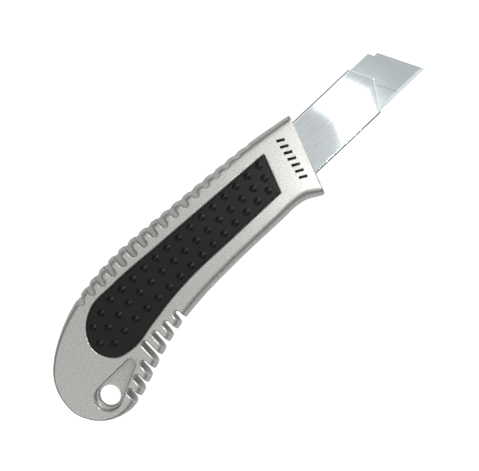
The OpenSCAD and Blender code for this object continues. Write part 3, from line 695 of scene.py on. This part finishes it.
# %% Shape at many places
def repeat_group():
    group = bpy.data.node_groups.new("shape_at_places", "GeometryNodeTree")
    sockets = group.interface
    sockets.new_socket("Places", in_out="INPUT", socket_type="NodeSocketGeometry")
    sockets.new_socket("Shape", in_out="INPUT", socket_type="NodeSocketObject")
    sockets.new_socket("Turn", in_out="INPUT", socket_type="NodeSocketVector")
    sockets.new_socket("Finish", in_out="INPUT", socket_type="NodeSocketMaterial")
    sockets.new_socket("Copies", in_out="OUTPUT", socket_type="NodeSocketGeometry")
    start = group.nodes.new("NodeGroupInput")
    shape = group.nodes.new("GeometryNodeObjectInfo")
    put = group.nodes.new("GeometryNodeInstanceOnPoints")
    real = group.nodes.new("GeometryNodeRealizeInstances")
    paint = group.nodes.new("GeometryNodeSetMaterial")
    end = group.nodes.new("NodeGroupOutput")
    for source, target in [
            (start.outputs["Places"], put.inputs["Points"]),
            (start.outputs["Shape"], shape.inputs["Object"]),
            (shape.outputs["Geometry"], put.inputs["Instance"]),
            (start.outputs["Turn"], put.inputs["Rotation"]),
            (put.outputs["Instances"], real.inputs["Geometry"]),
            (real.outputs["Geometry"], paint.inputs["Geometry"]),
            (start.outputs["Finish"], paint.inputs["Material"]),
            (paint.outputs["Geometry"], end.inputs["Copies"])]:
        group.links.new(source, target)
    return group

repeats = repeat_group()

def repeated(name, places, shape, finish, turn=(0, 0, 0)):
    """A mesh with a copy of shape at each place, in mm."""
    points = bpy.data.meshes.new(name + "_places")
    points.from_pydata([tuple(v * MM for v in p) for p in places], [], [])
    holder = bpy.data.objects.new(name, points)
    pattern = bpy.data.objects.new(name + "_shape", shape)
    for obj in (holder, pattern):
        bpy.context.scene.collection.objects.link(obj)
    modifier = holder.modifiers.new("copies", "NODES")
    modifier.node_group = repeats
    values = {"Shape": pattern, "Turn": turn, "Finish": finish}
    for item in repeats.interface.items_tree:
        if item.in_out == "INPUT" and item.name in values:
            modifier[item.identifier] = values[item.name]
    made_real(holder)
    bpy.data.objects.remove(pattern)
    mesh = holder.data
    bpy.data.objects.remove(holder)
    return mesh

def joined(name, material, *meshes):
    bm = bmesh.new()
    for mesh in meshes:
        bm.from_mesh(mesh)
    whole = bpy.data.meshes.new(name)
    bm.to_mesh(whole)
    bm.free()
    return new_object(name, whole, material)

# %% [markdown]
# ## Rubber pads
# Each pad is moulded, lies in its recess with a thin gap all round, and stops just under the
# silver face. Low round studs in three wavering rows give grip. Each stud is a turned shape with
# a small skirt, so it flows into the pad as a moulding does. The left pad ends at the track.

# %% Studs
STUD_RADIUS, STUD_HEIGHT, STUD_PITCH = 1.1, 0.5, 5.43
pad_top = pad_floor + PAD_THICK

def stud_shape():
    """A low dome with a skirt, turned about its own axis."""
    profile = [(0.0, STUD_HEIGHT)]
    for angle in range(8, 57, 8):
        ball = (STUD_RADIUS**2 + STUD_HEIGHT**2) / (2 * STUD_HEIGHT)
        a = math.radians(angle)
        profile.append((ball * math.sin(a), STUD_HEIGHT - ball * (1 - math.cos(a))))
    profile = [p for p in profile if p[1] > 0.13]
    profile += [(STUD_RADIUS - 0.02, 0.09), (STUD_RADIUS + 0.12, 0.03),
                (STUD_RADIUS + 0.3, 0.004), (STUD_RADIUS + 0.32, -0.1), (0.0, -0.1)]
    return turned("stud", profile, 32)

def turned(name, profile, around):
    bm = bmesh.new()
    line = [bm.verts.new((r * MM, 0, z * MM)) for r, z in profile]
    edges = [bm.edges.new(pair) for pair in zip(line[:-1], line[1:])]
    bmesh.ops.spin(bm, geom=line + edges, cent=(0, 0, 0), axis=(0, 0, 1),
                   angle=2 * math.pi, steps=around, use_merge=True)
    bmesh.ops.remove_doubles(bm, verts=bm.verts, dist=1e-7)
    bmesh.ops.recalc_face_normals(bm, faces=bm.faces)
    mesh = bpy.data.meshes.new(name)
    bm.to_mesh(mesh)
    bm.free()
    return mesh

BEND_X, BEND_LONG = 40, 55

def stud_row(x0, y0, y1, x_end):
    """Studs at height y0 as far as BEND_X, from where the row leans towards y1."""
    return [(x, y0 + (y1 - y0) * max(0, x - BEND_X) / BEND_LONG)
            for x in np.arange(x0, x_end, STUD_PITCH)]

studs = (stud_row(24.2, pad_high - 3.2, pad_high - 4.7, nose_x - 19.8)
         + stud_row(28.1, axis_y + 2.6, axis_y + 1.7, nose_x - 21.3)
         + stud_row(26.1, axis_y - 3.2, axis_y - 2.3, nose_x - 22.3)
         + [(13.1, axis_y + 4.8), (18.6, axis_y + 6.6), (10.9, axis_y - 0.9),
            (16.9, axis_y + 1.2), (22.6, axis_y + 1.9), (14.7, axis_y - 4.4),
            (20.3, axis_y - 3.5)])
print("studs on the right pad:", len(studs))

# %% Pads
PAD_CELL, PAD_ROUND = 0.24, 0.45

def slab_field(side, z, top):
    return soft_max(side, np.abs(z - (top + pad_floor) / 2) - (top - pad_floor) / 2, PAD_ROUND)

def right_pad_field(x, y, z):
    return slab_field(pad_side(x, y, 0), z, pad_top)

def left_pad_field(x, y, z):
    return slab_field(left_pad_side(x, y, 0), z, pad_top)

pad_box = ((7.5, axis_y - 11, pad_floor - 0.1), (nose_x - 15, pad_high + 0.4, pad_top + 0.1))
right_slab = field_mesh("right_slab", right_pad_field, *pad_box, PAD_CELL)
right_studs = repeated("right_studs", [(x, y, pad_top) for x, y in studs], stud_shape(), rubber)
stands_for(flat_shine(joined("pad_right", rubber, right_slab, right_studs)),
           "handle", "black_rubber", "grip_pad_right")

left_slab = field_mesh("left_slab", left_pad_field, pad_box[0],
                       (PAD_ARM_END + 6, pad_high + 0.4, pad_top + 0.1), PAD_CELL)
clear_x = track_back - TRACK_MARGIN - 2 * STUD_RADIUS
left_studs = repeated("left_studs", [(x, y, pad_top) for x, y in studs if x < clear_x],
                      stud_shape(), rubber)
left_pad = joined("pad_left", rubber, left_slab, left_studs)
left_pad.data = mirrored(left_pad.data)
stands_for(flat_shine(left_pad), "handle", "black_rubber", "grip_pad_left")

# %% [markdown]
# ## Steel guide
# The guide is one strip of bright sheet, bent to a shallow channel with two lips that hold the
# slider. Its bends have a small outer radius, its front is cut to a blunt peak, and the lip on
# the spine side is nibbled with lock notches two millimetres apart.

# %% Bent profile
SHEET, BEND, LIP = 0.5, 0.75, 3.2

def bent_profile(inset):
    """The channel's section from lip to lip, its outside drawn in by inset."""
    y0, y1 = guide_y0 + inset, guide_y1 - inset
    z0, z1 = guide_low[2] + inset, guide_high[2] - inset
    r = BEND - inset
    top = [(y, z1) for y in np.linspace(y0 + r + 0.05, y1 - r - 0.05, 41)]
    return np.vstack([[(guide_y0 + LIP, z0)], arc((y0 + r, z0 + r), r, 270, 180, 6),
                      arc((y0 + r, z1 - r), r, 180, 90, 6), top,
                      arc((y1 - r, z1 - r), r, 90, 0, 6),
                      arc((y1 - r, z0 + r), r, 0, -90, 6), [(guide_y1 - LIP, z0)]])

PEAK_SOFT, PEAK_REACH, PEAK_SHIFT = 0.6, 0.15, 1
LOW_FLANK, HIGH_FLANK = 6.45, 4.35
front_low, front_high = guide_high[0] - LOW_FLANK, guide_high[0] - HIGH_FLANK
peak = np.array([guide_high[0] + PEAK_REACH, axis_y + PEAK_SHIFT])

def front_x(y):
    """The front cut at height y: two straight flanks that meet in a rounded peak."""
    low = peak[0] - (peak[1] - y) * (peak[0] - front_low) / (peak[1] - guide_y0)
    high = peak[0] - (y - peak[1]) * (peak[0] - front_high) / (guide_y1 - peak[1])
    return -soft_max(-low, -high, PEAK_SOFT)

def guide_ring(bm, inset, x_back=None, pull=0.0):
    """One ring of the bent sheet, at the back or along the front cut."""
    ring = []
    for (y, z), outer in zip(bent_profile(inset), bent_profile(0)):
        x = float(front_x(outer[0])) if x_back is None else x_back
        if x_back is None and z < guide_low[2] + 1:
            x = front_low if y < axis_y else front_high
        ring.append(bm.verts.new(((x - pull) * MM, y * MM, z * MM)))
    return ring

FRONT_BREAK = 0.3

def guide_mesh():
    bm = bmesh.new()
    rings = [guide_ring(bm, 0, guide_end), guide_ring(bm, 0, pull=FRONT_BREAK),
             guide_ring(bm, 0.12), guide_ring(bm, SHEET), guide_ring(bm, SHEET, guide_end)]
    for a, b in zip(rings, rings[1:] + rings[:1]):
        for i in range(len(a) - 1):
            bm.faces.new((a[i], a[i + 1], b[i + 1], b[i]))
    for i in (0, -1):
        bm.faces.new([ring[i] for ring in rings])
    bmesh.ops.recalc_face_normals(bm, faces=bm.faces)
    mesh = bpy.data.meshes.new("guide")
    bm.to_mesh(mesh)
    bm.free()
    return mesh

# %% Guide with its notches
NOTCH_PITCH, NOTCH_LONG, NOTCH_DEEP, NOTCHES = 2.0, 1.2, 1.2, 47
STOP_X, STOP_LONG = 134.51, 0.5
SHEET_BREAK, GUIDE_SHARP_ANGLE = 0.06, 25

def block_mesh(name, low, high, round_off=0.0):
    bm = bmesh.new()
    corners = [bm.verts.new([(low, high)[k][a] * MM for a, k in enumerate(c)])
               for c in np.ndindex(2, 2, 2)]
    bmesh.ops.convex_hull(bm, input=corners)
    bmesh.ops.dissolve_limit(bm, angle_limit=0.02, verts=bm.verts, edges=bm.edges)
    if round_off:
        bmesh.ops.bevel(bm, geom=bm.edges, offset=round_off * MM, segments=3, profile=0.5,
                        affect="EDGES")
    bmesh.ops.recalc_face_normals(bm, faces=bm.faces)
    mesh = bpy.data.meshes.new(name)
    bm.to_mesh(mesh)
    bm.free()
    return mesh

notch_first = slider_x - DRAWN_IN - 2 * NOTCH_PITCH
lip_edge = guide_y1 - LIP
notch_shape = block_mesh("notch", (-NOTCH_LONG / 2, -1, -1), (NOTCH_LONG / 2, NOTCH_DEEP, 1))
notches = new_object("notches", repeated("notches", [
    (notch_first + NOTCH_PITCH * k, lip_edge, guide_low[2]) for k in range(NOTCHES)],
    notch_shape, bright_steel))
guide = new_object("guide_channel", guide_mesh(), bright_steel)
cutter = guide.modifiers.new("notches", "BOOLEAN")
cutter.object, cutter.operation, cutter.solver = notches, "DIFFERENCE", "EXACT"
made_real(guide)
bpy.data.objects.remove(notches)
edge = guide.modifiers.new("edges", "BEVEL")
edge.width, edge.segments, edge.limit_method = SHEET_BREAK * MM, 2, "ANGLE"
edge.angle_limit = math.radians(50)
made_real(guide)
stop = block_mesh("stop", (STOP_X, guide_y1 - SHEET - 1.6, guide_low[2]),
                  (STOP_X + STOP_LONG, guide_y1 - 0.3, guide_low[2] + 2), 0.08)
guide_whole = joined("guide", bright_steel, guide.data, stop)
bpy.data.objects.remove(guide)
stands_for(flat_shine(guide_whole, GUIDE_SHARP_ANGLE), "handle", "guide_steel", "blade_guide")

# %% [markdown]
# ## Blade and slider
# The small machined and pressed parts keep their measured shapes. Each mesh is copied, its loose
# triangles are merged into whole faces, and its edges get the small break that tumbling or
# moulding leaves. Corners above a set angle stay sharp, so flat steel mirrors cleanly.

# %% Edge break on measured parts
BLADE_SHARP_ANGLE = 4

def measured(name, node, material, edge_break, sharp_angle=30):
    bm = bmesh.new()
    bm.from_mesh(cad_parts[node].data)
    bmesh.ops.remove_doubles(bm, verts=bm.verts, dist=2e-6)
    bmesh.ops.dissolve_limit(bm, angle_limit=math.radians(1), verts=bm.verts, edges=bm.edges)
    bmesh.ops.recalc_face_normals(bm, faces=bm.faces)
    mesh = bpy.data.meshes.new(name)
    bm.to_mesh(mesh)
    bm.free()
    obj = new_object(name, mesh, material)
    if edge_break:
        bevel = obj.modifiers.new("edges", "BEVEL")
        bevel.width, bevel.segments, bevel.limit_method = edge_break * MM, 2, "ANGLE"
        bevel.angle_limit = math.radians(sharp_angle)
    return flat_shine(obj, sharp_angle)

stands_for(measured("blade_strip", "blade", ground_steel, 0.0, BLADE_SHARP_ANGLE),
           "slider", "blade_steel", "blade")
stands_for(measured("carrier", "blade_carrier", plastic, 0.15), "slider", "dark_plastic",
           "blade_carrier")
for piece_name, node, body, edge_break in [
        ("stud_pin", "blade_stud", "slider", 0.1), ("spring_leaf", "lock_spring", "slider", 0.0),
        ("spring_pin", "spring_rivet", "slider", 0.03), ("lock_leaf", "lock_plate", "button", 0.06),
        ("lock_pin_front", "lock_rivet_front", "button", 0.05),
        ("lock_pin_rear", "lock_rivet_rear", "button", 0.05),
        ("guide_pin", "guide_rivet", "handle", 0.1)]:
    stands_for(measured(piece_name, node, plated_steel, edge_break), body, "fastener_steel", node)

# %% [markdown]
# ## Thumb button
# The button is a plastic moulding with well rounded edges and a stem that reaches the lock plate.
# A rubber cap with seven cross ribs is moulded onto it for the thumb.

# %% Button and cap
CAP_THICK, STEM_LONG, STEM_WIDE, STEM_TOP = 2.2, 8, 5.2, -2.0

def button_field(x, y, z):
    cap_top = button_low[2] + CAP_THICK
    cap = box_field(x, y, z, (button_low[0], button_low[1], button_low[2]),
                    (button_high[0], button_high[1], cap_top), 0.9)
    stem = box_field(x, y, z, (slider_x - STEM_LONG / 2, axis_y - STEM_WIDE / 2, cap_top - 1),
                     (slider_x + STEM_LONG / 2, axis_y + STEM_WIDE / 2, STEM_TOP), 0.15)
    return soft_min(cap, stem, 0.3)

button = new_object("button", field_mesh(
    "button", button_field, button_low - 0.3, button_high + 0.3, 0.22), plastic)
stands_for(flat_shine(button), "button", "dark_plastic", "thumb_button")

grip_low, grip_high = box_mm("thumb_grip")
RIB_PITCH, RIB_RADIUS = 2.6, 0.45

def cap_field(x, y, z):
    return box_field(x, y, z, (grip_low[0], grip_low[1], grip_high[2] - 0.45),
                     (grip_high[0], grip_high[1], grip_high[2]), 0.2)

def rib_field(x, y, z):
    wide = (grip_high[1] - grip_low[1]) / 2 - 1 - RIB_RADIUS
    return np.sqrt(x**2 + np.maximum(np.abs(y) - wide, 0) ** 2 + z**2) - RIB_RADIUS

cap_mesh = field_mesh("cap", cap_field, grip_low - 0.2, grip_high + 0.2, 0.15)
rib_mesh = field_mesh("rib", rib_field, (-0.6, -6, -0.6), (0.6, 6, 0.6), 0.14)
ribs = repeated("ribs", [(slider_x + RIB_PITCH * k, axis_y, grip_low[2] + RIB_RADIUS)
                         for k in range(-3, 4)], rib_mesh, rubber)
stands_for(flat_shine(joined("thumb_cap", rubber, cap_mesh, ribs)), "button", "black_rubber",
           "thumb_grip")

# %% [markdown]
# ## Screws
# Four small pan head screws with a cross recess close the handle from the left. One screw is
# shaped once, with a rounded head, and set down at the four measured places.

# %% Screws
HEAD_RADIUS, HEAD_TALL, SHANK_RADIUS, SHANK_TOP = 1.7, 1.6, 1.0, 4.4
DOME_RADIUS, CROSS_REACH, CROSS_HALF, CROSS_DEEP = 7.2, 1.1, 0.25, 0.9

def screw_field(x, y, z):
    side = np.hypot(x, y)
    low = -WELL_SEAT - HEAD_TALL
    head = soft_max(side - HEAD_RADIUS, np.maximum(low - z, z + WELL_SEAT), 0.7)
    shank = soft_max(side - SHANK_RADIUS, np.maximum(-WELL_SEAT - 0.2 - z, z - SHANK_TOP), 0.4)
    ball = np.sqrt(side**2 + (z - low - DOME_RADIUS) ** 2) - DOME_RADIUS
    body = soft_min(np.maximum(head, ball), shank, 0.15)
    arm = np.minimum(np.maximum(np.abs(x) - CROSS_REACH, np.abs(y) - CROSS_HALF),
                     np.maximum(np.abs(y) - CROSS_REACH, np.abs(x) - CROSS_HALF))
    recess = np.maximum(arm, z - (low + CROSS_DEEP) + side * 0.35)
    return cut(body, recess, 0.06)

screw_mesh = field_mesh("screw", screw_field, (-1.8, -1.8, -WELL_SEAT - HEAD_TALL - 0.1),
                        (1.8, 1.8, SHANK_TOP + 0.1), 0.09)
screws = new_object("screws", repeated("screws", [(*spot, 0) for spot in SCREWS], screw_mesh,
                                       plated_steel), plated_steel)
stands_for(flat_shine(screws), "handle", "fastener_steel", "screw_tail", "screw_rear",
           "screw_front_spine", "screw_front_belly")

# %% [markdown]
# ## Printed bars
# A plain row of slanted bars is printed in black beside the nose, as tools of this kind often
# carry a printed mark there. It is a film of ink, a few hundredths of a millimetre proud.

# %% Printed bars
BAR_LONG, BAR_WIDE, BARS = 3.1, 1.0, 7
BAR_TURN = math.radians(-28)
mark_high, mark_low = np.array([106.6, axis_y + 7.6]), np.array([103.6, axis_y - 7.2])
bar = block_mesh("bar", (-BAR_LONG / 2, -BAR_WIDE / 2, -0.1), (BAR_LONG / 2, BAR_WIDE / 2, 0.03))
bar_places = [(*(mark_high + (mark_low - mark_high) * k / (BARS - 1)), half_t)
              for k in range(BARS)]
marks = new_object("printed_bars", repeated("marks", bar_places, bar, ink, (0, 0, BAR_TURN)), ink)
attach(marks, "handle")
print("printed bars:", BARS)

# %% [markdown]
# ## Light and floor
# The knife lies on a white sweep in a pale room. Large lamps beyond the spine and the tail light
# the whole, low lamps beyond the point light what faces it and pick out the studs, and a compact
# lamp brightens the nose. Two small cards hang where the guide's flat face mirrors them
# to the camera, and a third lamp does the same for the blade's bevel. The sweep looks brighter to
# the camera than to the parts, so their undersides stay dark.

# %% Floor and lamps
bpy.context.scene.view_settings.view_transform = "Standard"
rest_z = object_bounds()[0][2]
SWEEP_REACH, CARD_HEIGHT, CARD_TURN = 1.5, 0.3, math.radians(22)

def area_lamp(name, place, aim, size, watts):
    data = bpy.data.lights.new(name, "AREA")
    data.shape = "RECTANGLE"
    data.size, data.size_y = size
    data.energy = watts
    lamp = bpy.data.objects.new(name, data)
    lamp.location = place
    lamp.rotation_euler = (Vector(aim) - Vector(place)).to_track_quat("-Z", "Y").to_euler()
    bpy.context.scene.collection.objects.link(lamp)
    return lamp

def white_floor():
    mesh = bpy.data.meshes.new("floor")
    corners = [(-1, -1), (1, -1), (1, 1), (-1, 1)]
    mesh.from_pydata([(x * SWEEP_REACH, y * SWEEP_REACH, rest_z) for x, y in corners],
                     [], [(0, 1, 2, 3)])
    mat, tree, surface = new_material("floor_white")
    surface.inputs["Base Color"].default_value = (0.6, 0.6, 0.6, 1)
    surface.inputs["Roughness"].default_value = 0.9
    surface.inputs["Emission Color"].default_value = (1, 1, 1, 1)
    ray = add_node(tree, "ShaderNodeLightPath")
    glow = add_node(tree, "ShaderNodeMapRange", {"To Min": 0.2, "To Max": 0.9})
    link(tree, ray.outputs["Is Camera Ray"], glow.inputs["Value"])
    link(tree, glow.outputs["Result"], surface.inputs["Emission Strength"])
    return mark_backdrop(new_object("floor", mesh, mat))

white_floor()
area_lamp("key_lamp", (0.4, 0.4, 0.9), (0.07, 0.01, 0), (0.5, 0.5), 0.6)
area_lamp("fill_lamp", (-0.6, -0.2, 0.8), (0.05, 0.01, 0), (0.8, 0.8), 1.5)
area_lamp("nose_lamp", (0.6, 0.0, 0.3), (0.12, 0.015, 0), (0.6, 0.3), 1.0)
area_lamp("stud_lamp", (0.6, 0.02, 0.42), (0.05, 0.01, 0), (0.16, 0.16), 0.8)
area_lamp("glow_lamp", (0.16, -0.02, 0.3), (0.16, -0.02, 0), (0.03, 0.018), 0.11)
area_lamp("bevel_lamp", (0.216, -0.09, 0.3), (0.155, 0.008, 0), (0.06, 0.09), 0.009)
for name, x, y, size, watts, turn in [
        ("mirror_low", 0.1748, 0.0094, (0.026, 0.037), 0.0054, -CARD_TURN),
        ("mirror_high", 0.1783, 0.0292, (0.026, 0.028), 0.0024, CARD_TURN)]:
    card = area_lamp(name, (x, y, CARD_HEIGHT), (x, y, 0), size, watts)
    card.rotation_euler = (0, 0, turn)

# %% Room
ROOM_GREYS = [(0.0, 0.1), (0.35, 0.08), (0.6, 0.2), (0.85, 0.45), (1.0, 0.7)]

def pale_room():
    world = bpy.data.worlds.new("room")
    bpy.context.scene.world = world
    world.use_nodes = True
    tree = world.node_tree
    tree.nodes.clear()
    place = add_node(tree, "ShaderNodeTexCoord")
    split = add_node(tree, "ShaderNodeSeparateXYZ")
    link(tree, place.outputs["Generated"], split.inputs["Vector"])
    shade = ramp(tree, split.outputs["Z"], [(height, (grey,) * 3) for height, grey in ROOM_GREYS])
    back = add_node(tree, "ShaderNodeBackground")
    link(tree, shade, back.inputs["Color"])
    out = add_node(tree, "ShaderNodeOutputWorld")
    link(tree, back.outputs["Background"], out.inputs["Surface"])

pale_room()
print("room greys, from level to straight up:", [grey for _, grey in ROOM_GREYS])
